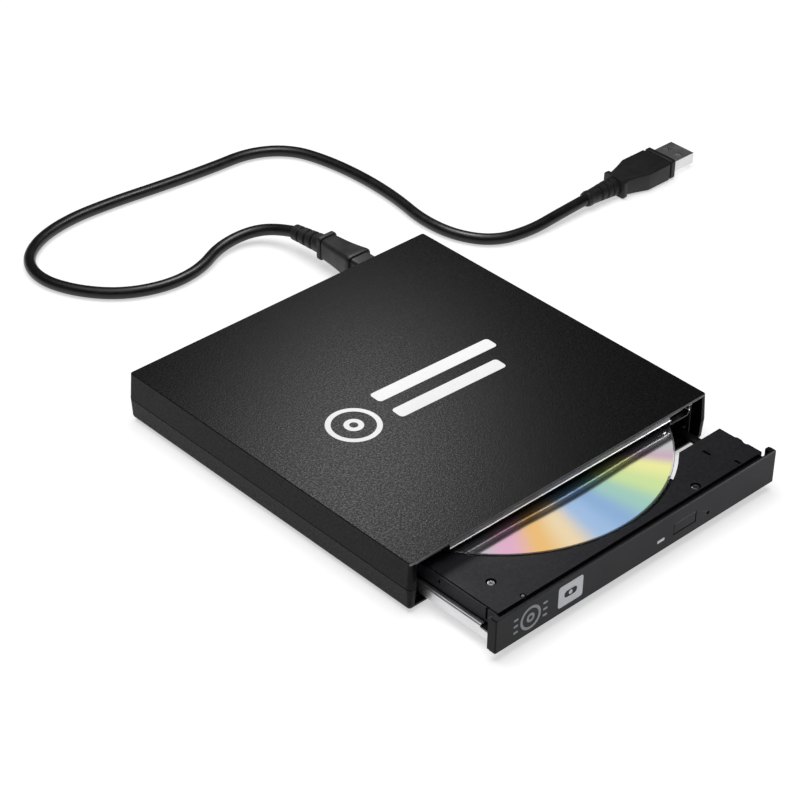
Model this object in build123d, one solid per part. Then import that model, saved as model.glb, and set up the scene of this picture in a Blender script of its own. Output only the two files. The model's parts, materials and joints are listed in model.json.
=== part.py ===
"""External slim optical drive: a tray-loading drive in a plastic sleeve, with its USB cord.

Millimetres.  +X is to the right seen from the front, +Y to the back, +Z up.  The tray is partly out.
Everything is drawn about the centre of the sleeve and moved once, as it is written, so that the
origin lies on the table under the middle of the whole drive.
"""
import os
from math import radians, tan

from build123d import *

# ---- the origin ----
ORIGIN_SHIFT_Y = 16.5          # from the sleeve's centre forward to the middle of the drive, tray out

# ---- sleeve (the plastic outer case) ----
CASE_W = 135.6                 # width and length of the flat top and bottom
CASE_L = 137.6
RIDGE = 0.6                    # how far the joint line stands out beyond the top and bottom
JOINT_Z = 9.5                  # height of the joint between the two shells
CASE_TOP = 19.45
CASE_BOTTOM = 1.0
SIDE_INNER_X = 65.8            # inner faces of the side walls and of the back wall
BACK_INNER_Y = 66.8
FLOOR_TOP = 2.8
ROOF_UNDER = 18.05
CORNER_R = 1.6                 # plan corners
TOP_EDGE_R = 0.3
BOTTOM_EDGE_R = 1.6
ROOF_FRONT_UNDER = 18.65       # the roof is thinned from below along its front edge
ROOF_THIN_Y = -66.8
SEAM = 0.3                     # groove along the joint between the shells
FRONT_Y = -CASE_L / 2
BACK_Y = CASE_L / 2 + RIDGE

# ---- drive chassis and lid (pressed steel) ----
SHEET = 0.5
CHASSIS_X = 63.4               # outer faces of the side walls
CHASSIS_FRONT_Y = -66.6
CHASSIS_BACK_Y = 58.4
LID_UNDER = 15.8
LID_TOP = 16.3

# ---- tray position and travel ----
TRAY_FRONT_Y = -99.9           # back face of the bezel
TRAY_LEFT_X = -60.3
TRAY_RIGHT_X = 62.1
TRAY_BACK_Y = 24.5
TRAY_TOP = 13.9
RECESS_FLOOR = 11.0
TRAY_UNDER = 9.8
WING_BACK_Y = -80.2
WING_HOLLOW_Y = -97.2          # front of the hollow under the wing
WING_UNDER = 12.3              # underside of the wing's top
RECESS_R = 61.3
CUT_X = 31.0                   # the tray is cut away to the right of this line, behind the wing
FLOOR_CUT_X = 36.0             # inside the wing the recess has no floor past these two lines
FLOOR_CUT_Y = -86.0

# ---- bezel ----
BEZEL_W = 128.8
BEZEL_FRONT_Y = -102.5
BEZEL_BOTTOM = 3.2
BEZEL_TOP = 16.1
BEZEL_WALL = 0.9               # thickness of its face along the top
BEZEL_END_W = 2.4              # the face keeps its full thickness this far in from each end
BEZEL_BLOCK_X = 62.7           # inner faces of its two end blocks
BEZEL_END_Y = -99.0            # back of the end blocks
GROOVE_BACK_Y = -98.1          # the tray's top is stepped down in front of this line
GROOVE_FLOOR = 12.3
BEZEL_CUT_Y = (-110.0, -90.0)  # the openings are cut through the face between these
HOOK_X = (-42.0, 42.0)         # its two hooks over the tray's front edge
HOOK_HALF_W = 3.0
HOOK_Z = 11.5                  # underside of the hooks

# ---- disc (a standard 120 mm disc) ----
DISC_R = 60.0
DISC_HOLE_R = 7.5
DISC_THICK = 1.2
DISC_Z = 12.3                  # underside of the disc
DISC_X = 1.5
DISC_Y = -34.2

# ---- pickup mechanism, drawn along its own radial line and turned into place ----
MECH_ANGLE = 135.0             # direction from the spindle out to the far end of the pickup's travel
SHAFT_Z = 7.0                  # height of the rods and of the lead screw
ROD_R = 1.0
ROD_Y = 9.5
SUB_ROD_Y = -10.5
SCREW_Y = 12.6
SCREW_R = 1.1
RUN = 0.05                     # radial clearance of a running fit
PICKUP_X = 40.0                # lens to spindle distance, tray as drawn

# ---- slide rails ----
RAIL_LENGTH = 118.0
RAIL_FRONT_Y = -98.2
RAIL_WEB = 0.6
RAIL_BEND_R = 0.8
LEFT_RAIL_Z = (3.7, 8.2)
RIGHT_RAIL_Z = (3.7, 6.1)
RAIL_OUTER_X = 62.1
RAIL_INNER_X = 60.0

# ---- USB socket, plugs and cord ----
USB_X = 46.8
USB_Z = 9.0
CORD_D = 4.5
CORD_POINTS = [                # the centre line's corners, from the small plug to the large one
    (45.4, 114.3, 8.2),
    (43.3, 123.8, 6.5),
    (35.3, 131.1, 4.4),
    (22.0, 131.7, 2.9),
    (8.0, 125.0, 2.35),
    (-8.0, 124.0, 2.35),
    (-24.0, 130.5, 2.35),
    (-35.0, 143.0, 2.35),
    (-40.5, 158.0, 2.35),
    (-37.0, 172.0, 2.35),
    (-25.0, 181.5, 2.35),
    (-8.0, 186.0, 2.35),
    (12.0, 185.5, 2.35),
    (36.0, 182.5, 2.35),
    (58.0, 180.5, 2.35),
    (78.0, 180.0, 2.35),
    (92.0, 170.5, 2.35),
    (97.0, 154.0, 2.35),
    (98.7, 134.0, 2.35),
    (97.5, 114.0, 2.35),
    (93.8, 96.0, 2.35),
    (95.5, 79.0, 2.35),
    (104.0, 66.5, 2.35),
    (119.0, 62.6, 2.6),
    (135.0, 62.6, 3.8),
    (149.0, 62.8, 4.3),
]
PLUG_AXIS_Y = 62.8             # the large plug lies along +X
PLUG_AXIS_Z = 4.3


# ---- helpers ----
def box(x0, x1, y0, y1, z0, z1):
    """A block between two corners."""
    return Pos((x0 + x1) / 2, (y0 + y1) / 2, (z0 + z1) / 2) * Box(x1 - x0, y1 - y0, z1 - z0)


def post(x, y, r, z0, z1):
    """An upright cylinder."""
    return Pos(x, y, (z0 + z1) / 2) * Cylinder(r, z1 - z0)


def bar_x(x0, x1, y, z, r):
    """A cylinder along X."""
    return Pos((x0 + x1) / 2, y, z) * Rot(0, 90, 0) * Cylinder(r, x1 - x0)


def bar_y(x, y0, y1, z, r):
    """A cylinder along Y."""
    return Pos(x, (y0 + y1) / 2, z) * Rot(90, 0, 0) * Cylinder(r, y1 - y0)


def plate(points, z0, z1):
    """An upright prism over a polygon."""
    return Pos(0, 0, z0) * extrude(make_face(Polyline(*points, close=True)), amount=z1 - z0)


def profile_along_x(points, x0, x1):
    """A prism along X over a polygon given as (y, z)."""
    outline = [(x0, y, z) for y, z in points]
    return extrude(make_face(Polyline(*outline, close=True)), amount=x1 - x0, dir=(1, 0, 0))


def profile_along_y(points, y0, y1):
    """A prism along Y over a polygon given as (x, z)."""
    outline = [(x, y0, z) for x, z in points]
    return extrude(make_face(Polyline(*outline, close=True)), amount=y1 - y0, dir=(0, 1, 0))


def in_mech(shape):
    """Turn a mechanism piece from its radial line into the tray."""
    return Pos(DISC_X, DISC_Y, 0) * Rot(0, 0, MECH_ANGLE) * shape


def write(name, *shapes):
    """Write one sub-part, moved to the drive's origin."""
    moved = [Pos(0, ORIGIN_SHIFT_Y, 0) * s for shape in shapes for s in shape.solids()]
    whole = moved[0] if len(moved) == 1 else Compound(children=moved)
    whole.label = name
    export_step(whole, f"parts/{name}.step")


# ---- the sleeve ----
SCREW_POSTS = [(-61.0, 62.0), (61.0, 62.0)]
CASE_SCREW_R = 0.8
CASE_SCREW_TOP = 14.5
FOOT_PLACES = [(-54.0, -57.0), (54.0, -57.0), (-54.0, 57.0), (54.0, 57.0)]
BRIDGE_HOLES_X = (-8.0, 55.0)   # the two blocks that carry the bridge board
FOOT_R = 4.5
FOOT_TOP = 1.6


def tapered_block(direction, height):
    """Half of the sleeve's outer shape, from the joint line up (+1) or down (-1)."""
    lean = RIDGE / height
    sketch = RectangleRounded(CASE_W + 2 * RIDGE, CASE_L + 2 * RIDGE, CORNER_R)
    angle = Vector(0, 0, 1).get_angle(Vector(lean, 0, 1))
    solid = extrude(sketch, amount=height, taper=angle)
    if direction < 0:
        solid = mirror(solid, about=Plane.XY)
        solid = fillet(solid.faces().sort_by(Axis.Z)[0].edges(), BOTTOM_EDGE_R)
    else:
        solid = fillet(solid.faces().sort_by(Axis.Z)[-1].edges(), TOP_EDGE_R)
    return Pos(0, 0, JOINT_Z) * solid


def seam():
    """The groove round the lower shell's upper edge."""
    width, length = CASE_W + 2 * RIDGE, CASE_L + 2 * RIDGE
    outer = extrude(RectangleRounded(width + 2, length + 2, CORNER_R), amount=SEAM)
    inner = extrude(RectangleRounded(width - 2 * SEAM, length - 2 * SEAM, CORNER_R), amount=SEAM)
    return Pos(0, 0, JOINT_Z - SEAM) * (outer - inner)


def usb_opening():
    return box(USB_X - 5.2, USB_X + 5.2, BACK_INNER_Y - 1, BACK_Y + 1, USB_Z - 2.9, USB_Z + 2.9)


TONGUE_H = 1.0
TONGUE_X = SIDE_INNER_X + 0.9
TONGUE_Y = BACK_INNER_Y + 0.9


def tongue(extra):
    """The raised inner half of the joint; the same shape a little larger makes its groove."""
    outer = box(-TONGUE_X - extra, TONGUE_X + extra, FRONT_Y + 2.0 - extra, TONGUE_Y + extra,
                JOINT_Z, JOINT_Z + TONGUE_H + extra)
    inner = box(-SIDE_INNER_X, SIDE_INNER_X, FRONT_Y, BACK_INNER_Y, JOINT_Z - 1, JOINT_Z + 3)
    return outer - inner


def top_shell():
    shell = tapered_block(1, CASE_TOP - JOINT_Z)
    shell -= box(-SIDE_INNER_X, SIDE_INNER_X, FRONT_Y - 5, BACK_INNER_Y, JOINT_Z - 1, ROOF_UNDER)
    shell -= box(-SIDE_INNER_X, SIDE_INNER_X, FRONT_Y - 5, ROOF_THIN_Y, JOINT_Z, ROOF_FRONT_UNDER)
    shell -= tongue(0.1)
    for x, y in SCREW_POSTS:
        shell += post(x, y, 2.4, JOINT_Z + 1.2, ROOF_UNDER)
        shell -= post(x, y, CASE_SCREW_R, JOINT_Z + 1, ROOF_UNDER - 2)
    return shell - usb_opening()


def bottom_shell():
    shell = tapered_block(-1, JOINT_Z - CASE_BOTTOM) - seam()
    shell -= box(-SIDE_INNER_X, SIDE_INNER_X, FRONT_Y - 5, BACK_INNER_Y, FLOOR_TOP, JOINT_Z + 1)
    shell += tongue(0)
    for x, y in SCREW_POSTS:
        shell += post(x, y, 2.8, FLOOR_TOP, JOINT_Z + 1.1)
        shell -= post(x, y, 1.15, CASE_BOTTOM - 1, JOINT_Z + 2)
        shell -= post(x, y, 2.1, CASE_BOTTOM - 1, FLOOR_TOP)
    for x, y in FOOT_PLACES:
        shell -= post(x, y, FOOT_R, CASE_BOTTOM - 1, FOOT_TOP)
    for x in BRIDGE_HOLES_X:
        shell += box(x - 1.5, x + 1.5, 63.4, 66.4, FLOOR_TOP, 5.8)
    return shell - usb_opening()


def rubber_feet():
    feet = []
    for x, y in FOOT_PLACES:
        foot = post(x, y, FOOT_R, 0, FOOT_TOP)
        feet.append(chamfer(foot.faces().sort_by(Axis.Z)[0].edges(), 0.3))
    return feet


def enclosure_screws():
    screws = []
    for x, y in SCREW_POSTS:
        head = post(x, y, 1.9, FLOOR_TOP - 1.2, FLOOR_TOP)
        shank = post(x, y, CASE_SCREW_R, FLOOR_TOP, CASE_SCREW_TOP)
        recess = box(x - 0.9, x + 0.9, y - 0.25, y + 0.25, 1.0, FLOOR_TOP - 0.6)
        cross = box(x - 0.25, x + 0.25, y - 0.9, y + 0.9, 1.0, FLOOR_TOP - 0.6)
        screws.append(head + shank - recess - cross)
    return screws


# ---- USB bridge board behind the drive ----
BRIDGE_Z = (5.8, 7.0)


def usb_bridge_board():
    board = box(-12, 58, 59.8, 66.5, *BRIDGE_Z)
    for x in BRIDGE_HOLES_X:
        board -= post(x, 64.9, 0.6, 5, 8)
    return board


def bridge_chip():
    return box(28.5, 35.5, 60.2, 66.2, BRIDGE_Z[1], 8.2)


def bridge_components():
    blocks = [(-6, -3, 60.6, 62.2, 1.2), (-6, -4, 64, 66, 0.8), (37.5, 39, 60.5, 63.5, 1.4),
              (37.5, 40.5, 64.3, 66, 1.0), (53, 56, 60.5, 62.5, 1.0)]
    parts = [box(x0, x1, y0, y1, BRIDGE_Z[1], BRIDGE_Z[1] + h) for x0, x1, y0, y1, h in blocks]
    crystal = box(22.5, 26.5, 64.7, 66.3, BRIDGE_Z[1], BRIDGE_Z[1] + 1.8)
    return parts + [fillet(crystal.edges().filter_by(Axis.Z), 0.7)]


def bridge_connector():
    body = box(0, 21, 59.4, 63.6, BRIDGE_Z[1], 10.8)
    return body - box(2, 19, 59, 61, 8.3, 9.6)


def usb_socket_shell():
    outer = box(USB_X - 3.85, USB_X + 3.85, 60.2, 68.5, BRIDGE_Z[1], USB_Z + 1.97)
    return outer - box(USB_X - 3.55, USB_X + 3.55, 60.5, 69, BRIDGE_Z[1] + 0.3, USB_Z + 1.67)


def usb_socket_tongue():
    return box(USB_X - 2.6, USB_X + 2.6, 60.5, 67.2, USB_Z - 0.35, USB_Z + 0.35)


# ---- the drive's own case ----
CHASSIS_INNER_X = CHASSIS_X - SHEET
CONNECTOR_X = (0.0, 21.0)
PAN_TOP = FLOOR_TOP + SHEET
STOP_X = 8.0
STOP_Y = 46.0
STRIKER = (33.5, -56.0)


def drive_chassis():
    pan = box(-CHASSIS_X, CHASSIS_X, CHASSIS_FRONT_Y, CHASSIS_BACK_Y, FLOOR_TOP, LID_UNDER)
    pan -= box(-CHASSIS_INNER_X, CHASSIS_INNER_X, CHASSIS_FRONT_Y - 1, CHASSIS_BACK_Y - SHEET,
               PAN_TOP, LID_UNDER + 1)
    pan -= box(CONNECTOR_X[0] - 1, CONNECTOR_X[1] + 1, CHASSIS_BACK_Y - 1, CHASSIS_BACK_Y + 1, 4.7, 11)
    pan += box(STOP_X - 3, STOP_X + 3, STOP_Y, STOP_Y + SHEET, PAN_TOP, 8.4)
    pan += post(STRIKER[0], STRIKER[1], 1.0, PAN_TOP, 7.2)
    for x in (-48, -28, 28, 48):
        pan -= box(x - 6, x + 6, 30, 32, FLOOR_TOP - 1, PAN_TOP + 1)
    return pan


LID_LIP_X = 50.5
LIP_Y = (-68.4, -66.6)
HEM_R = 0.32


def drive_lid():
    """The lid, its front lip with a rolled hem, and the stepped ear over the tray's wing."""
    sheet = box(-CHASSIS_X, CHASSIS_X, CHASSIS_FRONT_Y, CHASSIS_BACK_Y, LID_UNDER, LID_TOP)
    lip = profile_along_x([(-66.6, LID_UNDER), (-66.6, LID_TOP), (-67.1, 18.5), (-67.9, 18.5),
                           (-68.4, 16.2), (-68.4, 15.9), (-68.0, 15.9), (-67.6, 18.0),
                           (-67.4, 18.0), (-66.9, LID_UNDER)], -LID_LIP_X, LID_LIP_X)
    hem = bar_x(-LID_LIP_X, LID_LIP_X, -68.1, 16.0, HEM_R)
    ear = profile_along_y([(LID_LIP_X, LID_TOP), (LID_LIP_X, 14.3), (51.6, 14.15), (59.2, 14.15),
                           (60.3, 15.2), (60.3, 17.4), (59.8, 17.4), (59.8, 15.4), (59.0, 14.65),
                           (51.8, 14.65), (51.0, 14.8), (51.0, LID_TOP)], *LIP_Y)
    recess = post(0, 6, 26, LID_TOP - 0.15, LID_TOP + 1)
    return sheet - recess + lip + hem + ear


LID_SCREWS = [(-58.5, 52.5), (58.5, 52.5), (-58.5, -60.0), (58.5, -60.0)]


def lid_screws():
    return [post(x, y, 1.8, LID_TOP, LID_TOP + 0.6) - box(x - 1.1, x + 1.1, y - 0.2, y + 0.2,
            LID_TOP + 0.3, LID_TOP + 1) for x, y in LID_SCREWS]


MAIN_Z = (3.9, 4.9)


def main_board():
    outline = [(33, -30), (58, -30), (58, 57.2), (-4, 57.2), (-4, 50.5), (33, 50.5)]
    return plate(outline, *MAIN_Z)


def board_spacers():
    return [post(x, y, 1.8, PAN_TOP, MAIN_Z[0]) for x, y in ((38, -26), (54, -26), (54, 53), (10, 53.5))]


def main_board_chips():
    blocks = [(38, 52, -18, -4, 1.5), (40, 50, 6, 14, 1.2), (38, 46, 22, 27, 1.0), (50, 55, 24, 30, 1.6),
              (36, 40, 36, 40, 1.0), (45, 51, 38, 44, 1.1)]
    return [box(x0, x1, y0, y1, MAIN_Z[1], MAIN_Z[1] + h) for x0, x1, y0, y1, h in blocks]


def drive_connector():
    body = box(CONNECTOR_X[0], CONNECTOR_X[1], 53.0, 59.4, MAIN_Z[1], 10.2)
    return body - box(CONNECTOR_X[0] + 2, CONNECTOR_X[1] - 2, 57, 60, 6.4, 8.0)


def rail_guide(side, rail_z):
    """A plastic strip on the chassis wall with a hook over its rail; side is -1 left, +1 right."""
    back_x = CHASSIS_INNER_X
    top = rail_z[1]
    shape = [(back_x, PAN_TOP), (62.4, PAN_TOP), (62.4, top + 0.25), (61.3, top + 0.25),
             (61.3, top + 0.9), (back_x, top + 0.9)]
    guide = profile_along_y(shape, -65.5, 57.0)
    return mirror(guide, about=Plane.YZ) if side < 0 else guide


# ---- slide rails ----
def slide_rail(side, rail_z):
    """A C-shaped steel rail, open towards the tray."""
    z0, z1 = rail_z
    shape = [(RAIL_OUTER_X, z0), (RAIL_INNER_X, z0), (RAIL_INNER_X, z0 + RAIL_WEB - 0.1),
             (RAIL_OUTER_X - RAIL_WEB, z0 + RAIL_WEB - 0.1), (RAIL_OUTER_X - RAIL_WEB, z1 - RAIL_WEB + 0.1),
             (RAIL_INNER_X, z1 - RAIL_WEB + 0.1), (RAIL_INNER_X, z1), (RAIL_OUTER_X, z1)]
    rail = profile_along_y(shape, RAIL_FRONT_Y, RAIL_FRONT_Y + RAIL_LENGTH)
    corners = rail.edges().filter_by(Axis.Y).group_by(Axis.X)[-1]
    rail = fillet(corners, RAIL_BEND_R)
    end = profile_along_x([(RAIL_FRONT_Y - 1, z1 - 1.5), (RAIL_FRONT_Y + 4.6, z1 - 1.0),
                           (RAIL_FRONT_Y + 4.6, z1 + 1), (RAIL_FRONT_Y - 1, z1 + 1)],
                          RAIL_INNER_X - 1, RAIL_OUTER_X + 1)
    rail -= end
    return mirror(rail, about=Plane.YZ) if side < 0 else rail


# ---- tray ----
MECH_OUTLINE = [(-59.6, TRAY_FRONT_Y), (CUT_X, TRAY_FRONT_Y), (CUT_X, -20), (-13.5, TRAY_BACK_Y),
                (-59.6, TRAY_BACK_Y)]
TRAY_OUTLINE = [(TRAY_LEFT_X, TRAY_FRONT_Y), (TRAY_RIGHT_X + 0.3, TRAY_FRONT_Y),
                (TRAY_RIGHT_X + 0.3, -92.4), (TRAY_RIGHT_X - 0.2, -91.7), (TRAY_RIGHT_X - 0.2, -90.8),
                (TRAY_RIGHT_X + 0.5, -89.2), (TRAY_RIGHT_X + 0.5, -87.6), (TRAY_RIGHT_X, -86.6),
                (TRAY_RIGHT_X, WING_BACK_Y), (CUT_X, WING_BACK_Y), (CUT_X, -20), (-13.5, TRAY_BACK_Y),
                (TRAY_LEFT_X, TRAY_BACK_Y)]
COVER_Z = (3.7, 4.2)
RUNNER_OUTER_X = 61.2           # the two runners, inside the rails
RUNNER_BACK_Y = 18.0
RUNNER_UNDER = 4.5
TRAY_SCREW_PLACES = [(-50.4, -86.2), (32.4, -95.8)]
PIN_PLACE = (-47.8, -97.2)
BUTTON_X = (15.0, 25.5)
BUTTON_Z = (7.0, 11.2)
LED_X = (7.4, 10.7)
LED_Z = (7.3, 8.4)
BUTTON_GAP = 0.15
PINHOLE = (31.5, 7.4)
PINHOLE_R = 0.65
PUSHER_X = STOP_X
PUSHER_Z = 7.0
SPRING_Y = (-9.0, 1.0)          # the ejector spring, free
PUSHER_END_Y = 14.2
LATCH_PIVOT = (42.0, -94.6)
LATCH_PIN_R = 0.8
LEVER_Z = (6.4, 7.4)
PLUNGER_Y = -89.8
PLUNGER_Z = 9.1


def mech_window():
    """The opening in the recess floor over the pickup and the spindle."""
    slot = box(-15, 64, -14.8, 14.8, 9, 12)
    return in_mech(slot) + post(DISC_X, DISC_Y, 15.5, 9, 12)


def tray():
    body = plate(TRAY_OUTLINE, TRAY_UNDER, TRAY_TOP)
    body = fillet(body.edges().filter_by(Axis.Z).group_by(Axis.Y)[-1], 1.5)
    body -= post(DISC_X, DISC_Y, RECESS_R, RECESS_FLOOR, TRAY_TOP + 1)
    body += profile_along_y([(-60.3, 9.0), (-58.4, 9.0), (-58.4, 9.9), (-60.3, 9.9)],
                            TRAY_FRONT_Y, TRAY_BACK_Y)
    body -= mech_window()
    body -= box(CUT_X, 70, WING_BACK_Y + 3.0, 30, 9, RECESS_FLOOR + 0.5)
    skirt = plate(MECH_OUTLINE, COVER_Z[1], TRAY_UNDER)
    hollow = plate([(-58.4, TRAY_FRONT_Y + 1.5), (CUT_X - 1.2, TRAY_FRONT_Y + 1.5), (CUT_X - 1.2, -20.5),
                    (-14.0, TRAY_BACK_Y - 1.2), (-58.4, TRAY_BACK_Y - 1.2)], 4, TRAY_UNDER)
    body += skirt - hollow
    body += box(-RUNNER_OUTER_X, -59.6, TRAY_FRONT_Y + 1.4, RUNNER_BACK_Y, RUNNER_UNDER, 7.4)
    body += box(CUT_X - 0.5, TRAY_RIGHT_X, TRAY_FRONT_Y, TRAY_FRONT_Y + 1.5, 4.2, TRAY_UNDER)
    body += box(CUT_X - 0.5, 58.5, WING_BACK_Y - 1.3, WING_BACK_Y, 7.8, TRAY_UNDER)
    wing_opening = box(FLOOR_CUT_X, 52, FLOOR_CUT_Y, 30, 3, RECESS_FLOOR + 0.5)
    body -= wing_opening & post(DISC_X, DISC_Y, RECESS_R, 3, RECESS_FLOOR + 0.5)
    wing_hollow = box(CUT_X + 1.5, TRAY_RIGHT_X - 1.3, WING_HOLLOW_Y, WING_BACK_Y - 1.3, 9, WING_UNDER)
    body -= wing_hollow
    front_gap = box(BUTTON_X[0] - 0.6, BUTTON_X[1] + 0.6, TRAY_FRONT_Y - 1, TRAY_FRONT_Y + 3, 6.4, 11.8)
    body -= front_gap
    for x in HOOK_X:
        body -= box(x - HOOK_HALF_W, x + HOOK_HALF_W, TRAY_FRONT_Y - 1, TRAY_FRONT_Y + 1.0,
                    HOOK_Z, GROOVE_FLOOR + 1)
    body -= box(LED_X[0] - 0.4, LED_X[1] + 0.4, TRAY_FRONT_Y - 1, TRAY_FRONT_Y + 3, 6.6, 9.2)
    body -= bar_y(PINHOLE[0], TRAY_FRONT_Y - 1, TRAY_FRONT_Y + 3, PINHOLE[1], 0.9)
    for x, y in TRAY_SCREW_PLACES:
        body -= post(x, y, 1.75, TRAY_TOP - 1.0, TRAY_TOP + 1)
        body -= post(x, y, 0.8, TRAY_UNDER - 1, TRAY_TOP + 1)
    body -= post(PIN_PLACE[0], PIN_PLACE[1], 1.0, TRAY_TOP - 0.8, TRAY_TOP + 1)
    body -= box(48.0, 49.1, -88.0, -84.8, TRAY_TOP - 0.9, TRAY_TOP + 1)
    body -= box(51.8, 52.8, -97.6, -95.2, TRAY_TOP - 0.9, TRAY_TOP + 1)
    body -= box(TRAY_LEFT_X - 1, TRAY_RIGHT_X + 1, TRAY_FRONT_Y - 1, GROOVE_BACK_Y,
                GROOVE_FLOOR, TRAY_TOP + 1)
    body -= box(-59.8, -59.3, GROOVE_BACK_Y - 1, TRAY_BACK_Y - 3, TRAY_TOP - 0.5, TRAY_TOP + 1)
    body -= box(TRAY_LEFT_X - 1, -59.2, -94.8, -93.9, TRAY_UNDER, TRAY_TOP + 1)
    body -= box(TRAY_LEFT_X - 1, -59.7, -74.2, -73.4, 11.2, 12.6)
    channel = box(PUSHER_X - 2.2, PUSHER_X + 2.2, SPRING_Y[0], 20, PUSHER_Z - 1.4, PUSHER_Z + 1.4)
    housing = box(PUSHER_X - 3.4, PUSHER_X + 3.4, SPRING_Y[0] - 1.2, SPRING_Y[1] + 3,
                  COVER_Z[1], TRAY_UNDER)
    body += housing
    body -= channel
    for x in (5.0, 27.0):
        body += post(x, -90.0, 1.2, 6.2, TRAY_UNDER)
    return body


def front_bezel():
    half = BEZEL_W / 2
    face = box(-half, half, BEZEL_FRONT_Y, TRAY_FRONT_Y, BEZEL_BOTTOM, BEZEL_TOP)
    face = fillet(face.edges().filter_by(Axis.Y), 0.5)
    face = chamfer(face.faces().sort_by(Axis.Y)[0].edges(), 0.35)
    face -= box(BUTTON_X[0] - BUTTON_GAP, BUTTON_X[1] + BUTTON_GAP, *BEZEL_CUT_Y,
                BUTTON_Z[0] - BUTTON_GAP, BUTTON_Z[1] + BUTTON_GAP)
    face -= box(*LED_X, *BEZEL_CUT_Y, *LED_Z)
    face -= bar_y(PINHOLE[0], *BEZEL_CUT_Y, PINHOLE[1], PINHOLE_R)
    face -= box(BEZEL_END_W - half, half - BEZEL_END_W, BEZEL_FRONT_Y + BEZEL_WALL, TRAY_FRONT_Y + 1,
                GROOVE_FLOOR, BEZEL_TOP + 1)
    for x in HOOK_X:
        face += box(x - HOOK_HALF_W, x + HOOK_HALF_W, TRAY_FRONT_Y, TRAY_FRONT_Y + 1.0,
                    HOOK_Z, GROOVE_FLOOR)
    for side in (-1, 1):
        x0, x1 = sorted((side * BEZEL_BLOCK_X, side * half))
        face += box(x0, x1, TRAY_FRONT_Y - 0.5, BEZEL_END_Y, BEZEL_BOTTOM + 0.5, BEZEL_TOP - 0.5)
    return face


def tray_screws():
    screws = []
    for x, y in TRAY_SCREW_PLACES:
        head = post(x, y, 1.35, TRAY_TOP - 1.0, TRAY_TOP - 0.4)
        head = fillet(head.faces().sort_by(Axis.Z)[-1].edges(), 0.3)
        shank = post(x, y, 0.8, TRAY_UNDER, TRAY_TOP - 1.0)
        cross = box(x - 0.8, x + 0.8, y - 0.16, y + 0.16, TRAY_TOP - 0.7, TRAY_TOP)
        cross += box(x - 0.16, x + 0.16, y - 0.8, y + 0.8, TRAY_TOP - 0.7, TRAY_TOP)
        screws.append(head + shank - cross)
    return screws


def locating_pin():
    pin = post(PIN_PLACE[0], PIN_PLACE[1], 0.7, TRAY_TOP - 0.8, TRAY_TOP - 0.1)
    return chamfer(pin.faces().sort_by(Axis.Z)[-1].edges(), 0.2)


def tray_cover():
    sheet = plate(MECH_OUTLINE, *COVER_Z)
    for x in (-45, -20, 5):
        sheet -= box(x - 4, x + 4, -92, -90, 3, 5)
    return sheet - in_mech(post(0, 0, 6, 3, 5))


def right_runner():
    bar = box(60.2, RUNNER_OUTER_X, TRAY_FRONT_Y + 1.5, RUNNER_BACK_Y, RUNNER_UNDER, 5.3)
    foot = box(58.6, 60.2, WING_HOLLOW_Y, WING_BACK_Y - 1.4, RUNNER_UNDER, 5.3)
    leg = box(58.6, 59.4, WING_HOLLOW_Y, WING_BACK_Y - 1.4, 5.3, WING_UNDER)
    return bar + foot + leg


def tray_board():
    return box(3, 29, -96.2, -88.0, 5.2, 6.2)


def eject_switch():
    body = box(17.7, 22.8, -96.0, -92.6, 6.2, 9.6)
    stem = box(19.3, 21.2, -96.9, -96.0, 7.6, 8.8)
    return body + stem


def eject_button():
    """The push key and the arm behind it that reaches its switch."""
    cap = box(BUTTON_X[0], BUTTON_X[1], BEZEL_FRONT_Y + 0.05, TRAY_FRONT_Y + 0.2, *BUTTON_Z)
    cap = chamfer(cap.faces().sort_by(Axis.Y)[0].edges(), 0.25)
    arm = box(18.2, 22.3, TRAY_FRONT_Y + 0.2, -97.6, 7.4, 9.0)
    return cap + arm


def led_lens():
    lens = box(LED_X[0], LED_X[1], BEZEL_FRONT_Y, TRAY_FRONT_Y, *LED_Z)
    pipe = box(LED_X[0] + 0.4, LED_X[1] - 0.4, TRAY_FRONT_Y, -94.6, LED_Z[0] + 0.1, LED_Z[1] - 0.1)
    return lens + pipe


def status_led():
    return box(LED_X[0], LED_X[1], -94.6, -93.0, 6.2, 8.6)


# ---- latch, with its solenoid under the wing ----
def latch_solenoid():
    coil = box(45.5, 56.5, -93.3, -86.3, 6.6, WING_UNDER)
    return coil - bar_x(45, 53, PLUNGER_Y, PLUNGER_Z, 1.3)


def latch_plunger():
    """The solenoid's core, with an eye in front that holds the lever's peg."""
    eye = box(41.6, 43.6, PLUNGER_Y - 1.2, PLUNGER_Y + 1.2, PLUNGER_Z - 0.4, PLUNGER_Z + 0.4)
    eye -= box(42.05, 43.15, PLUNGER_Y - 0.7, PLUNGER_Y + 0.7, PLUNGER_Z - 1, PLUNGER_Z + 1)
    return eye + bar_x(43.4, 50.5, PLUNGER_Y, PLUNGER_Z, 1.0)


def latch_lever():
    """A flat lever on an upright pivot, with a hook towards the striker."""
    x, y = LATCH_PIVOT
    arm = plate([(x - 1.6, y - 1.8), (x + 1.0, y - 1.8), (x + 1.0, y + 1.4), (35.9, -84.6), (34.9, -84.6),
                 (34.9, -87.8), (35.9, -87.8)], *LEVER_Z)
    collar = post(x, y, 1.9, *LEVER_Z)
    tail = box(x - 0.2, x + 1.2, y, PLUNGER_Y + 0.6, *LEVER_Z)
    peg = post(x + 0.6, PLUNGER_Y, 0.45, LEVER_Z[1], PLUNGER_Z + 0.8)
    return arm + collar + tail + peg - post(x, y, LATCH_PIN_R + RUN, 6, 8)


def latch_pivot():
    x, y = LATCH_PIVOT
    return post(x, y, LATCH_PIN_R, 6.0, WING_UNDER) + post(x, y, 1.5, 5.5, 6.0)


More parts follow.
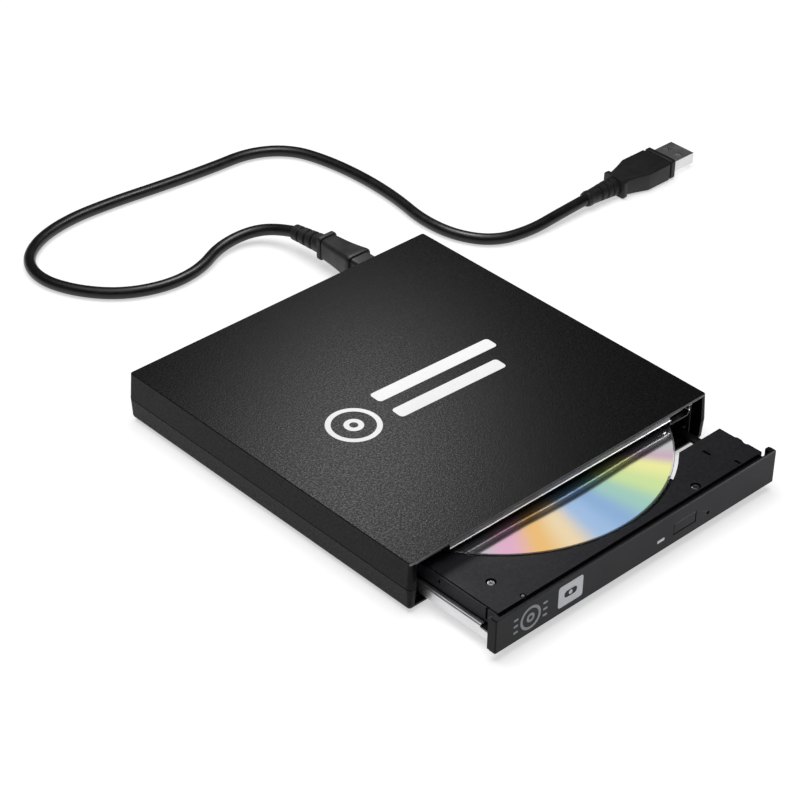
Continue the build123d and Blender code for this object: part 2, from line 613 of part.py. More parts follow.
# ---- ejector ----
def ejector_pusher():
    rod = box(PUSHER_X - 2.0, PUSHER_X + 2.0, SPRING_Y[1], PUSHER_END_Y, PUSHER_Z - 1.2, PUSHER_Z + 1.2)
    return fillet(rod.faces().sort_by(Axis.Y)[-1].edges().filter_by(Axis.Z), 0.8)


def ejector_spring():
    sleeve = bar_y(PUSHER_X, *SPRING_Y, PUSHER_Z, 1.1)
    return sleeve - bar_y(PUSHER_X, SPRING_Y[0] - 1, SPRING_Y[1] + 1, PUSHER_Z, 0.7)


# ---- pickup mechanism (own plan, see in_mech) ----
DAMPER_PLACES = [(-16.0, -15.6), (50.0, -16.0), (50.0, 16.0)]
FRAME_OUTLINE = [(-19, -18), (54, -18), (66.5, -14.4), (66.5, 14.4), (54, 18), (-19, 18)]


def traverse_frame():
    frame = plate(FRAME_OUTLINE, 5.0, 8.6)
    frame -= box(-16, 64, -13.9, 13.9, 4, 10)
    cross_bar = box(12.4, 15.4, -14, 14, 5.0, 8.3)
    frame += cross_bar
    frame += box(-16.5, 12.4, -3, 3, 5.0, 5.6)
    frame -= bar_x(11, 16, SCREW_Y, SHAFT_Z, SCREW_R + 0.3)
    frame -= bar_x(63, 66.2, SCREW_Y, SHAFT_Z, SCREW_R + RUN)
    for y in (ROD_Y, SUB_ROD_Y):
        frame -= bar_x(13.0, 66.0, y, SHAFT_Z, ROD_R)
    frame -= box(-18.2, -8.2, 9.9, 16.0, 5.0, 10)
    for x, y in DAMPER_PLACES:
        frame -= post(x, y, 1.5, 4, 10)
    return in_mech(frame)


def traverse_dampers():
    return [in_mech(post(x, y, 1.5, 4.2, 9.8)) for x, y in DAMPER_PLACES]


def mechanism_cover():
    sheet = box(-14.4, 63.5, -13.8, 13.8, 9.9, 10.3)
    sheet -= post(0, 0, 14.3, 9, 11)
    sheet -= box(10, 62.6, -5.2, 5.2, 9, 11)
    sheet -= box(-15, 0, -20, 20, 9, 11)
    for y in (-13.8, 13.4):
        for x in (18, 56):
            sheet += box(x, x + 5, y, y + 0.4, 8.6, 9.9)
    legs = box(18, 23, 13.4, 14.4, 8.6, 9.0) + box(56, 61, 13.4, 14.4, 8.6, 9.0)
    legs += box(18, 23, -14.4, -13.4, 8.6, 9.0) + box(56, 61, -14.4, -13.4, 8.6, 9.0)
    return in_mech(sheet + legs)


def spindle_stator():
    base = post(0, 0, 10.8, 5.6, 8.3)
    return in_mech(base - post(0, 0, 1.0 + RUN, 5, 9))


def spindle_rotor():
    """The motor bell, its shaft and the hub boss that centres the disc."""
    bell = post(0, 0, 13.5, 8.9, 11.9)
    bell -= post(0, 0, 12.6, 8.5, 9.4)
    shaft = post(0, 0, 1.0, 6.0, 9.6)
    boss = post(0, 0, DISC_HOLE_R - 0.1, 11.9, 13.9)
    boss = chamfer(boss.faces().sort_by(Axis.Z)[-1].edges(), 0.5)
    rotor = bell + shaft + boss
    for k in range(3):
        rotor -= Rot(0, 0, 120 * k) * box(5.2, 8.0, -1.1, 1.1, 12.2, 14)
    rotor -= post(0, 0, 2.2, 13.4, 14)
    return in_mech(rotor)


def hub_jaws():
    """The three sprung jaws that hold the disc on the boss."""
    jaws = []
    for k in range(3):
        jaw = profile_along_y([(5.2, 12.2), (7.3, 12.2), (7.3, 13.55), (7.85, 13.7), (7.0, 14.15),
                               (5.2, 14.0)], -1.0, 1.0)
        jaws.append(in_mech(Rot(0, 0, 120 * k) * jaw))
    return jaws


def turntable_ring():
    return in_mech(post(0, 0, 12.8, 11.9, DISC_Z) - post(0, 0, 9.2, 11, 13))


def disc():
    ring = post(DISC_X, DISC_Y, DISC_R, DISC_Z, DISC_Z + DISC_THICK)
    ring -= post(DISC_X, DISC_Y, DISC_HOLE_R, DISC_Z - 1, DISC_Z + 3)
    return ring


def guide_rods():
    return [in_mech(bar_x(13.0, 66.0, y, SHAFT_Z, ROD_R)) for y in (ROD_Y, SUB_ROD_Y)]


def lead_screw():
    return in_mech(bar_x(-8.2, 66.0, SCREW_Y, SHAFT_Z, SCREW_R))


def sled_motor():
    return in_mech(bar_x(-18.0, -8.4, SCREW_Y, SHAFT_Z, 2.5))


def laser_sled():
    x = PICKUP_X
    body = box(x - 6.5, x + 6.5, -8.3, 8.1, 5.2, 8.5)
    body += box(x - 6.0, x + 6.0, 8.0, 11.2, 5.4, 8.5)
    body += box(x - 3.0, x + 3.0, -12.2, -8.2, 5.4, 8.5)
    body += box(x - 2.0, x + 2.0, 8.0, 13.2, 8.5, 9.1)
    body += box(x - 5.5, x - 3.9, -6.5, 6.5, 8.5, 9.6)
    for y in (ROD_Y, SUB_ROD_Y):
        body -= bar_x(x - 8, x + 8, y, SHAFT_Z, ROD_R + RUN)
    return in_mech(body)


def lens_holder():
    x = PICKUP_X
    holder = box(x - 3.2, x + 3.2, -4.0, 4.0, 9.0, 10.2)
    return in_mech(holder - post(x, 0, 2.1, 9.6, 11))


def objective_lens():
    lens = post(PICKUP_X, 0, 2.1, 9.6, 10.4)
    return in_mech(fillet(lens.faces().sort_by(Axis.Z)[-1].edges(), 0.3))


# ---- ribbon cable ----
def flex_cable():
    """The run of ribbon cable stuck to the pan, from the main board."""
    return box(40.0, 50.0, -46.0, -28.5, PAN_TOP, PAN_TOP + 0.3)


# ---- cord and plugs ----
def usb_cord():
    """A round cord along the rounded run of its corners."""
    points = [Vector(*p) for p in CORD_POINTS]
    runs = [(b - a).length for a, b in zip(points, points[1:])]
    radii = []
    for k in range(1, len(points) - 1):
        turn = (points[k] - points[k - 1]).get_angle(points[k + 1] - points[k])
        radii.append(0.45 * min(runs[k - 1], runs[k]) / tan(radians(turn / 2)))
    path = FilletPolyline(*CORD_POINTS, radius=radii)
    start = Plane(origin=points[0], z_dir=points[1] - points[0])
    return sweep(start * Circle(CORD_D / 2), path=path)


def small_plug():
    """The moulded grip of the mini plug: neck, flaring grip, rear flange and ribbed sleeve."""
    def section(y, w, h):
        return Plane(origin=(USB_X, y, USB_Z), z_dir=(0, 1, 0)) * RectangleRounded(w, h, 1.2)

    neck = box(USB_X - 4.6, USB_X + 4.6, BACK_Y, 80.2, USB_Z - 4.1, USB_Z + 4.1)
    neck = fillet(neck.edges().filter_by(Axis.Y), 1.0)
    grip = loft([section(80.2, 11.4, 10.2), section(97.4, 7.8, 8.8)])
    flange = extrude(section(97.4, 8.6, 9.8), amount=2.0, dir=(0, 1, 0))
    end = Vector(*CORD_POINTS[0])
    base = Vector(USB_X - 0.2, 99.2, USB_Z - 0.1)
    axis = Plane(origin=base, z_dir=end - base)
    length = (end - base).length
    sleeve = axis * Pos(0, 0, length / 2) * Cone(3.9, 3.1, length)
    for k in range(3):
        ring_z = 5.0 + 3.3 * k
        cut = Cylinder(5, 1.1) - Cylinder(2.95, 2)
        sleeve -= axis * Pos(0, 0, ring_z) * cut
    sleeve -= box(30, 60, 90, 99.3, 0, 20)
    return neck + grip + flange + sleeve


def small_plug_shell():
    outer = box(USB_X - 3.4, USB_X + 3.4, 62.0, BACK_Y, USB_Z - 1.5, USB_Z + 1.5)
    return outer - box(USB_X - 3.1, USB_X + 3.1, 61, BACK_Y - 1, USB_Z - 1.2, USB_Z + 1.2)


def large_plug():
    """The moulded grip of the large plug: ribbed sleeve, flange, body and front collar."""
    def section(x, w, h):
        return Plane(origin=(x, PLUG_AXIS_Y, PLUG_AXIS_Z), x_dir=(0, 1, 0), z_dir=(1, 0, 0)) \
            * RectangleRounded(w, h, 1.6)

    body = loft([section(167.5, 9.4, 7.4), section(178.0, 15.2, 8.0)])
    body += extrude(section(178.0, 15.2, 8.0), amount=12.2)
    body += extrude(section(190.2, 13.4, 7.0), amount=1.0)
    body += extrude(section(191.2, 14.6, 8.2), amount=2.4)
    body += extrude(section(165.6, 11.6, 8.4), amount=1.9)
    sleeve = Pos(157.3, PLUG_AXIS_Y, PLUG_AXIS_Z) * Rot(0, 90, 0) * Cone(3.0, 4.0, 16.6)
    for k in range(3):
        ring = bar_x(153.2 + 3.6 * k, 154.4 + 3.6 * k, PLUG_AXIS_Y, PLUG_AXIS_Z, 5)
        ring -= bar_x(152 + 3.6 * k, 156 + 3.6 * k, PLUG_AXIS_Y, PLUG_AXIS_Z, 2.9)
        sleeve -= ring
    return body + sleeve


def large_plug_shell():
    y, z = PLUG_AXIS_Y, PLUG_AXIS_Z
    outer = box(193.6, 205.6, y - 6.0, y + 6.0, z - 2.25, z + 2.25)
    shell = outer - box(193.9, 206, y - 5.7, y + 5.7, z - 1.95, z + 1.95)
    for dy in (-2.9, 2.9):
        shell -= box(198.6, 201.2, y + dy - 1.2, y + dy + 1.2, z - 3, z + 3)
    return shell


def large_plug_insert():
    y, z = PLUG_AXIS_Y, PLUG_AXIS_Z
    return box(193.9, 204.8, y - 5.7, y + 5.7, z - 1.95, z - 0.1)


# ---- write every sub-part ----
os.makedirs("parts", exist_ok=True)

write("top_shell", top_shell())
write("bottom_shell", bottom_shell())
write("rubber_feet", *rubber_feet())
write("enclosure_screws", *enclosure_screws())
write("usb_bridge_board", usb_bridge_board())
write("bridge_chip", bridge_chip())
write("bridge_components", *bridge_components())
write("bridge_connector", bridge_connector())
write("usb_socket_shell", usb_socket_shell())
write("usb_socket_tongue", usb_socket_tongue())
write("drive_chassis", drive_chassis())
write("drive_lid", drive_lid())
write("lid_screws", *lid_screws())
write("main_board", main_board())
write("board_spacers", *board_spacers())
write("main_board_chips", *main_board_chips())
write("drive_connector", drive_connector())
write("left_rail_guide", rail_guide(-1, LEFT_RAIL_Z))
write("right_rail_guide", rail_guide(1, RIGHT_RAIL_Z))
write("flex_cable", flex_cable())

write("left_rail", slide_rail(-1, LEFT_RAIL_Z))
write("right_rail", slide_rail(1, RIGHT_RAIL_Z))

write("tray", tray())
write("front_bezel", front_bezel())
write("tray_screws", *tray_screws())
write("locating_pin", locating_pin())
write("tray_cover", tray_cover())
write("right_runner", right_runner())
write("tray_board", tray_board())
write("eject_switch", eject_switch())
write("status_led", status_led())
write("led_lens", led_lens())
write("latch_solenoid", latch_solenoid())
write("latch_pivot", latch_pivot())
write("traverse_frame", traverse_frame())
write("traverse_dampers", *traverse_dampers())
write("mechanism_cover", mechanism_cover())
write("spindle_stator", spindle_stator())
write("guide_rods", *guide_rods())
write("sled_motor", sled_motor())

write("eject_button", eject_button())
write("latch_lever", latch_lever())
write("latch_plunger", latch_plunger())
write("ejector_pusher", ejector_pusher())
write("ejector_spring", ejector_spring())
write("spindle_rotor", spindle_rotor())
write("hub_jaws", *hub_jaws())
write("turntable_ring", turntable_ring())
write("disc", disc())
write("lead_screw", lead_screw())
write("laser_sled", laser_sled())
write("lens_holder", lens_holder())
write("objective_lens", objective_lens())

write("small_plug", small_plug())
write("small_plug_shell", small_plug_shell())
write("usb_cord", usb_cord())
write("large_plug", large_plug())
write("large_plug_shell", large_plug_shell())
write("large_plug_insert", large_plug_insert())
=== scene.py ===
"""Looks of the external optical drive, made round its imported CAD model.

Metres, in the CAD model's own frame: +X to the right, +Y to the back, +Z up, the table at z = 0.
"""
import json
import math

import bmesh
import bpy
from mathutils import Matrix, Vector

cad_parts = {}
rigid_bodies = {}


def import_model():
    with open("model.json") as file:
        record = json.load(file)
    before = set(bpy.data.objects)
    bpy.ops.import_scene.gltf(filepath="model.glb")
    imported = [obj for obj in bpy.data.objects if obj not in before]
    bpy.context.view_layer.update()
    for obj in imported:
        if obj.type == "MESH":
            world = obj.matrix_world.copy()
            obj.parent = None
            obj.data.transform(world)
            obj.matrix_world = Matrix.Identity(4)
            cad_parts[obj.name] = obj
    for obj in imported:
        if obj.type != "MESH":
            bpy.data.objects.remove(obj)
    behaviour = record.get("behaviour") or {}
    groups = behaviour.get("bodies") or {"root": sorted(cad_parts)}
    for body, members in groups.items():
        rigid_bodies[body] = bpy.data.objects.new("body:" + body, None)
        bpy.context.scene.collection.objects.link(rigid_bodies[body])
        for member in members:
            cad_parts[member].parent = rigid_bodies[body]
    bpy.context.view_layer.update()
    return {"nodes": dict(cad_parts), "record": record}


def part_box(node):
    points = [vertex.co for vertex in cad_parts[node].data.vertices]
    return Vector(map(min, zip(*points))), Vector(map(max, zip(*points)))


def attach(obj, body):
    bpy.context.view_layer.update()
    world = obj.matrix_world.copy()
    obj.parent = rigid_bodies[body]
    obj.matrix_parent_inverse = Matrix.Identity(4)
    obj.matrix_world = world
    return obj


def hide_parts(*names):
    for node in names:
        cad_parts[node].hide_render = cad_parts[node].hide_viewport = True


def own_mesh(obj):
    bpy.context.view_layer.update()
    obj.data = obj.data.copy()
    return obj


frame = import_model()

MM = 0.001
SHIFT_Y = 16.5                  # mm from the sleeve's centre to the origin, as in the CAD source

# ---- places read from the frame ----
ROOF_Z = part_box("top_shell")[1].z
DISC_LOW, DISC_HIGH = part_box("disc")
DISC_CENTRE = (DISC_LOW + DISC_HIGH) / 2


def mm(x, y, z):
    """A point given in the CAD source's millimetres, about the sleeve's centre."""
    return Vector((x, y + SHIFT_Y, z)) * MM


LID_LIP = mm(0, -66.9, 16.45)   # in front of this y the lid is a lip, and below this z the lip is a hem
LID_HEM_Z = 16.1 * MM           # the hem has a painted highlight above this, and painted shade under it
ROOF_HIGHLIGHT_Z = 18.7 * MM         # the roof's front edge carries a painted highlight above this


# ---- camera ----
CAMERA_AZIMUTH = math.radians(-43.62)
CAMERA_ELEVATION = math.radians(35.18)
CAMERA_ROLL = math.radians(1.03)
CAMERA_DISTANCE = 0.84612
CAMERA_TARGET = mm(7.97, 16.56, 0)
CAMERA_LENS = 110.33            # mm, on a 36 mm sensor


def make_camera():
    side = math.cos(CAMERA_ELEVATION)
    back = Vector((math.sin(CAMERA_AZIMUTH) * side, -math.cos(CAMERA_AZIMUTH) * side,
                   math.sin(CAMERA_ELEVATION)))
    right = (-back).cross(Vector((0, 0, 1))).normalized()
    up = right.cross(-back)
    right, up = (right * math.cos(CAMERA_ROLL) + up * math.sin(CAMERA_ROLL),
                 up * math.cos(CAMERA_ROLL) - right * math.sin(CAMERA_ROLL))
    data = bpy.data.cameras.new("camera")
    data.sensor_width = 36.0
    data.lens = CAMERA_LENS
    data.clip_start = 0.01
    data.clip_end = 100.0
    camera = bpy.data.objects.new("camera", data)
    turn = Matrix((right, up, back)).transposed()
    camera.matrix_world = Matrix.Translation(CAMERA_TARGET + back * CAMERA_DISTANCE) @ turn.to_4x4()
    bpy.context.scene.collection.objects.link(camera)
    bpy.context.scene.camera = camera


# ---- cord ----
CORD_DIAMETER = 4.5 * MM
LYING = 2.35                    # mm, the height of the cord's middle on the table
CORD_ROUTE = [
    (45.4, 114.3, 8.2),
    (43.3, 123.8, 6.5),
    (35.3, 131.1, 4.4),
    (22.0, 131.7, 2.9),
    (8.0, 125.0, LYING),
    (-8.0, 124.0, LYING),
    (-24.0, 130.5, LYING),
    (-35.0, 143.0, LYING),
    (-40.5, 158.0, LYING),
    (-37.0, 172.0, LYING),
    (-25.0, 181.5, LYING),
    (-8.0, 186.0, LYING),
    (12.0, 185.5, LYING),
    (36.0, 182.5, LYING),
    (58.0, 180.5, LYING),
    (78.0, 180.0, LYING),
    (92.0, 170.5, LYING),
    (97.0, 154.0, LYING),
    (98.7, 134.0, LYING),
    (97.5, 114.0, LYING),
    (93.8, 96.0, LYING),
    (95.5, 79.0, LYING),
    (104.0, 66.5, LYING),
    (119.0, 62.6, 2.6),
    (135.0, 62.6, 3.8),
    (149.0, 62.8, 4.3),
]


def make_cord():
    data = bpy.data.curves.new("usb_cord_smooth", "CURVE")
    data.dimensions = "3D"
    data.bevel_depth = 1.0      # the points' own radius is the cord's
    data.bevel_resolution = 8
    data.resolution_u = 16
    data.use_fill_caps = True
    spline = data.splines.new("NURBS")
    spline.points.add(len(CORD_ROUTE) - 1)
    for point, place in zip(spline.points, CORD_ROUTE):
        point.co = (*mm(*place), 1)
        point.radius = CORD_DIAMETER / 2
    spline.order_u = 3
    spline.use_endpoint_u = True
    cord = bpy.data.objects.new("usb_cord_smooth", data)
    bpy.context.scene.collection.objects.link(cord)
    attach(cord, "housing")
    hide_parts("usb_cord")
    return cord


make_camera()
cord = make_cord()


# ---- materials ----
class Finish:
    """A node material under construction, in the object's own coordinates."""

    def __init__(self, name, colour, **sockets):
        self.material = bpy.data.materials.new(name)
        self.material.use_nodes = True
        self.tree = self.material.node_tree
        self.shader = self.tree.nodes["Principled BSDF"]
        self.place = self.add("ShaderNodeTexCoord").outputs["Object"]
        self.last_normal = None
        self.shader.inputs["Base Color"].default_value = (*colour, 1)
        for socket, value in sockets.items():
            self.shader.inputs[socket.replace("_", " ")].default_value = value

    def add(self, kind, **settings):
        node = self.tree.nodes.new(kind)
        for key, value in settings.items():
            setattr(node, key, value)
        return node

    def link(self, source, target):
        self.tree.links.new(source, target)

    def stretched(self, scale):
        """The object's coordinates scaled by a different amount along each axis, in 1/mm."""
        mapping = self.add("ShaderNodeMapping", vector_type="POINT")
        mapping.inputs["Scale"].default_value = [s / MM for s in scale]
        self.link(self.place, mapping.inputs["Vector"])
        return mapping.outputs["Vector"]

    def axes(self, vector):
        """A vector's X, Y and Z, by name."""
        node = self.add("ShaderNodeSeparateXYZ")
        self.link(vector, node.inputs["Vector"])
        return node.outputs

    def calc(self, operation, first, second):
        """Two values joined by an operation."""
        node = self.add("ShaderNodeMath", operation=operation)
        self.link(first, node.inputs[0])
        self.link(second, node.inputs[1])
        return node.outputs[0]

    def noise(self, size, detail=2.0, sharpness=0.5, vector=None):
        """Noise whose grains are about size across, in millimetres or in the vector's own units."""
        node = self.add("ShaderNodeTexNoise")
        node.inputs["Scale"].default_value = 1 / (size * MM) if vector is None else 1 / size
        node.inputs["Detail"].default_value = detail
        node.inputs["Roughness"].default_value = sharpness
        self.link(self.place if vector is None else vector, node.inputs["Vector"])
        return node.outputs["Fac"]

    def between(self, value, low, high, out_low, out_high):
        """Map a value from one range to another."""
        node = self.add("ShaderNodeMapRange")
        self.link(value, node.inputs["Value"])
        limits = {"From Min": low, "From Max": high, "To Min": out_low, "To Max": out_high}
        for socket, number in limits.items():
            node.inputs[socket].default_value = number
        return node.outputs["Result"]

    def ramp(self, value, stops, smooth="LINEAR"):
        """A value turned into colour through (position, colour) stops."""
        node = self.add("ShaderNodeValToRGB")
        node.color_ramp.interpolation = smooth
        elements = node.color_ramp.elements
        while len(elements) < len(stops):
            elements.new(0.5)
        for element, (position, colour) in zip(elements, stops):
            element.position = position
            element.color = (*colour, 1)
        self.link(value, node.inputs["Fac"])
        return node.outputs["Color"]

    def mix(self, share, low, high):
        """Two colours mixed, low at 0 and high at 1."""
        node = self.add("ShaderNodeMix", data_type="RGBA")
        self.link(share, node.inputs[0])
        self.link(low, node.inputs[6])
        self.link(high, node.inputs[7])
        return node.outputs[2]

    def colour(self, output):
        self.link(output, self.shader.inputs["Base Color"])

    def roughness(self, output):
        self.link(output, self.shader.inputs["Roughness"])

    def bump(self, height, depth):
        """Relief of that depth in millimetres, laid over any earlier relief."""
        node = self.add("ShaderNodeBump")
        node.inputs["Distance"].default_value = depth * MM
        node.inputs["Strength"].default_value = 1.0
        self.link(height, node.inputs["Height"])
        if self.last_normal:
            self.link(self.last_normal, node.inputs["Normal"])
        self.last_normal = node.outputs["Normal"]
        self.link(self.last_normal, self.shader.inputs["Normal"])
        return self


def shade(colour, factor):
    """A colour made darker or lighter."""
    return tuple(min(1.0, c * factor) for c in colour)


def moulded(name, colour, grain, depth, rough, spread=0.06, mottle=0.25, specular=0.3):
    """Moulded plastic: a spark-eroded grain, and slow changes of tone and gloss."""
    f = Finish(name, colour, Specular_IOR_Level=specular)
    slow = f.noise(22.0, 3.0)
    fine = f.noise(grain, 3.0, 0.6)
    dust = f.noise(grain * 3, 4.0, 0.7)
    f.colour(f.ramp(dust, [(0.3, shade(colour, 1 - mottle)), (0.7, shade(colour, 1 + mottle))]))
    f.roughness(f.between(slow, 0.3, 0.7, rough - spread, rough + spread))
    return f.bump(fine, depth)


def rubbery(name, colour, grain, depth, rough):
    """Rubber or soft vinyl: fine grain, a slight sheen, and slow changes of tone and gloss."""
    f = Finish(name, colour, Specular_IOR_Level=0.35, Sheen_Weight=0.08, Sheen_Roughness=0.5)
    f.colour(f.ramp(f.noise(3.0, 4.0), [(0.3, shade(colour, 0.75)), (0.75, shade(colour, 1.35))]))
    f.roughness(f.between(f.noise(6.0, 3.0), 0.3, 0.7, rough - 0.08, rough + 0.08))
    return f.bump(f.noise(grain, 3.0, 0.6), depth)


def plated(name, colour, rough, grain=0.5):
    """Plated or cast metal, without a direction."""
    f = Finish(name, colour, Metallic=1.0)
    f.colour(f.ramp(f.noise(4.0, 4.0), [(0.3, shade(colour, 0.88)), (0.7, shade(colour, 1.1))]))
    f.roughness(f.between(f.noise(grain * 3, 3.0), 0.3, 0.7, rough - 0.06, rough + 0.1))
    return f.bump(f.noise(grain, 3.0), 0.006)


def case_plastic():
    """The sleeve: finely grained on top, smoother on the sides, with a painted highlight along the
    roof's front edge.
    """
    colour = (0.0043, 0.0043, 0.0050)
    f = Finish("case_plastic_grained", colour, Specular_IOR_Level=0.11)
    facing = f.axes(f.add("ShaderNodeTexCoord").outputs["Normal"])
    flat = f.between(facing["Z"], 0.6, 0.9, 0.0, 1.0)
    speck = f.noise(0.9, 4.0, 0.75)
    dark = f.ramp(speck, [(0.32, shade(colour, 0.4)), (0.55, colour), (0.72, shade(colour, 2.9))])
    # painted highlight: a pale copy of the plastic on the front faces at the roof's front edge
    pale = f.ramp(speck, [(0.3, (0.20, 0.20, 0.21)), (0.7, (0.32, 0.32, 0.33))])
    front = f.between(facing["Y"], -0.3, -0.6, 0.0, 1.0)
    high = f.between(f.axes(f.place)["Z"], ROOF_HIGHLIGHT_Z - 0.1 * MM, ROOF_HIGHLIGHT_Z, 0.0, 1.0)
    f.colour(f.mix(f.calc("MULTIPLY", front, high), dark, pale))
    f.roughness(f.between(f.noise(0.75, 2.0, 0.6), 0.36, 0.64, 0.31, 0.5))
    f.bump(f.noise(0.65, 2.0, 0.6), 0.06)
    relief = f.calc("MULTIPLY", f.noise(0.42, 2.0, 0.6), f.between(flat, 0.0, 1.0, 0.25, 1.0))
    return f.bump(relief, 0.05)


def tray_plastic():
    return moulded("tray_plastic_grained", (0.0165, 0.0165, 0.0200), 0.4, 0.035, 0.5, mottle=0.4,
                   specular=0.14)


def bezel_plastic():
    return moulded("bezel_plastic_satin", (0.0052, 0.0052, 0.0066), 0.35, 0.02, 0.42, specular=0.12)


def rubber_black():
    return rubbery("rubber_black_matte", (0.012, 0.012, 0.012), 0.25, 0.03, 0.75)


def plug_pvc():
    return rubbery("plug_pvc_soft", (0.0062, 0.0064, 0.0058), 0.3, 0.02, 0.5)


def cord_pvc():
    """The cord's jacket: smooth and fairly glossy, with faint ripples along it."""
    colour = (0.0042, 0.0042, 0.0046)
    f = Finish("cord_pvc_smooth", colour, Specular_IOR_Level=0.4)
    f.colour(f.ramp(f.noise(5.0, 3.0), [(0.3, shade(colour, 0.8)), (0.7, shade(colour, 1.4))]))
    f.roughness(f.between(f.noise(4.0, 3.0), 0.3, 0.7, 0.3, 0.42))
    f.bump(f.noise(2.2, 2.0), 0.03)
    return f.bump(f.noise(0.25, 2.0), 0.004)


def sheet_steel():
    """Rolled sheet; the lid's front lip is rougher and darkened by painted shade, and its hem has a
    painted highlight above and painted shade beneath.

    The tray's cover is of it too, and in front of the lip's y it takes the painted shade of the hem's
    underside.
    """
    colour = (0.56, 0.57, 0.58)
    f = Finish("sheet_steel_rolled", colour, Metallic=1.0)
    lines = f.noise(1.0, 4.0, 0.65, f.stretched([0.12, 5.0, 5.0]))
    flat = f.ramp(lines, [(0.25, shade(colour, 0.88)), (0.75, shade(colour, 1.12))])
    # painted shade: the lip's steel darkened to nearly black
    shaded_lip = f.ramp(lines, [(0.32, (0.035, 0.036, 0.038)), (0.62, (0.15, 0.153, 0.16))])
    # painted highlight: the hem's bright line
    hem = f.ramp(lines, [(0.3, (0.90, 0.90, 0.91)), (0.7, (0.97, 0.97, 0.97))])
    # painted shade under the hem, also laid on the tray's cover in front of the lip
    under = f.ramp(lines, [(0.3, (0.03, 0.03, 0.03)), (0.7, (0.06, 0.06, 0.06))])
    at = f.axes(f.place)
    on_lip = f.between(at["Y"], LID_LIP.y + 0.3 * MM, LID_LIP.y, 0.0, 1.0)
    over_hem = f.between(at["Z"], LID_LIP.z, LID_LIP.z + 0.1 * MM, 0.0, 1.0)
    on_hem = f.between(at["Z"], LID_HEM_Z - 0.08 * MM, LID_HEM_Z, 0.0, 1.0)
    f.colour(f.mix(on_lip, flat, f.mix(over_hem, f.mix(on_hem, under, hem), shaded_lip)))
    stains = f.between(f.noise(9.0, 4.0, 0.6), 0.3, 0.7, 0.25, 0.4)
    f.roughness(f.calc("ADD", stains, f.between(on_lip, 0.0, 1.0, 0.0, 0.2)))
    return f.bump(lines, 0.004)


def chassis_black():
    # painted shade: the chassis is made near-black to stand for the shade inside the front opening
    return moulded("chassis_black_painted_shade", (0.006, 0.006, 0.0065), 0.5, 0.006, 0.5)


def bright_steel():
    """Drawn bright steel of rail, rods and plug shells, with long streaks along Y and a few stains."""
    colour = (0.70, 0.70, 0.71)
    f = Finish("bright_steel_drawn", colour, Metallic=1.0)
    streaks = f.noise(1.0, 4.0, 0.65, f.stretched([4.0, 0.12, 4.0]))
    f.colour(f.ramp(streaks, [(0.25, shade(colour, 0.94)), (0.75, shade(colour, 1.06))]))
    f.roughness(f.between(f.noise(9.0, 4.0, 0.6), 0.3, 0.7, 0.29, 0.45))
    return f.bump(streaks, 0.002)


def screw_steel():
    return plated("screw_steel_black_zinc", (0.2, 0.2, 0.205), 0.32)


def cast_grey():
    return plated("cast_grey_zinc", (0.36, 0.365, 0.37), 0.45, 0.7)


def chip_black():
    return moulded("chip_black_epoxy", (0.012, 0.012, 0.0125), 0.12, 0.01, 0.5)


def connector_black():
    return moulded("connector_black_nylon", (0.018, 0.018, 0.019), 0.2, 0.008, 0.42)


def guide_white():
    return moulded("guide_white_acetal", (0.62, 0.62, 0.6), 0.4, 0.006, 0.38, mottle=0.05,
                   specular=0.5)


def insert_white():
    return moulded("insert_white_nylon", (0.7, 0.7, 0.68), 0.3, 0.004, 0.35, mottle=0.04, specular=0.5)


def board_green():
    """Solder mask over a web of copper tracks."""
    colour = (0.008, 0.075, 0.035)
    f = Finish("board_green_mask", colour, Specular_IOR_Level=0.5, Coat_Weight=0.35,
               Coat_Roughness=0.2)
    cells = f.add("ShaderNodeTexVoronoi", feature="DISTANCE_TO_EDGE", distance="MANHATTAN")
    cells.inputs["Scale"].default_value = 1 / (2.4 * MM)
    cells.inputs["Randomness"].default_value = 0.9
    f.link(f.place, cells.inputs["Vector"])
    track = f.between(cells.outputs["Distance"], 0.05, 0.09, 0.0, 1.0)
    f.colour(f.ramp(track, [(0.0, shade(colour, 1.9)), (1.0, shade(colour, 0.8))]))
    f.roughness(f.between(f.noise(2.0), 0.3, 0.7, 0.28, 0.4))
    return f.bump(track, 0.03)


def flex_amber():
    """Polyimide ribbon with copper tracks along its length."""
    colour = (0.42, 0.17, 0.03)
    f = Finish("flex_amber_ribbon", colour, Specular_IOR_Level=0.5)
    tracks = f.add("ShaderNodeTexWave", bands_direction="X", wave_profile="SIN")
    tracks.inputs["Scale"].default_value = 1 / (2.5 * MM)
    f.link(f.place, tracks.inputs["Vector"])
    f.colour(f.ramp(tracks.outputs["Fac"], [(0.35, shade(colour, 0.6)), (0.6, shade(colour, 1.2))]))
    f.roughness(f.between(f.noise(3.0), 0.3, 0.7, 0.24, 0.36))
    return f.bump(tracks.outputs["Fac"], 0.02)


def copper_coil():
    """Lacquered copper wire, laid in close turns."""
    colour = (0.62, 0.22, 0.08)
    f = Finish("copper_coil_wound", colour, Metallic=1.0)
    turns = f.add("ShaderNodeTexWave", bands_direction="X", wave_profile="SIN")
    turns.inputs["Scale"].default_value = 1 / (1.6 * MM)
    turns.inputs["Distortion"].default_value = 0.6
    f.link(f.place, turns.inputs["Vector"])
    f.colour(f.ramp(turns.outputs["Fac"], [(0.2, shade(colour, 0.45)), (0.8, shade(colour, 1.1))]))
    f.roughness(f.between(f.noise(1.0), 0.3, 0.7, 0.25, 0.4))
    return f.bump(turns.outputs["Fac"], 0.08)


def clear_plastic(name, colour, rough):
    """Clear glass or polycarbonate."""
    f = Finish(name, colour, Transmission_Weight=0.9, IOR=1.56)
    f.roughness(f.between(f.noise(8.0), 0.3, 0.7, rough, rough + 0.08))
    return f.bump(f.noise(0.8), 0.002)


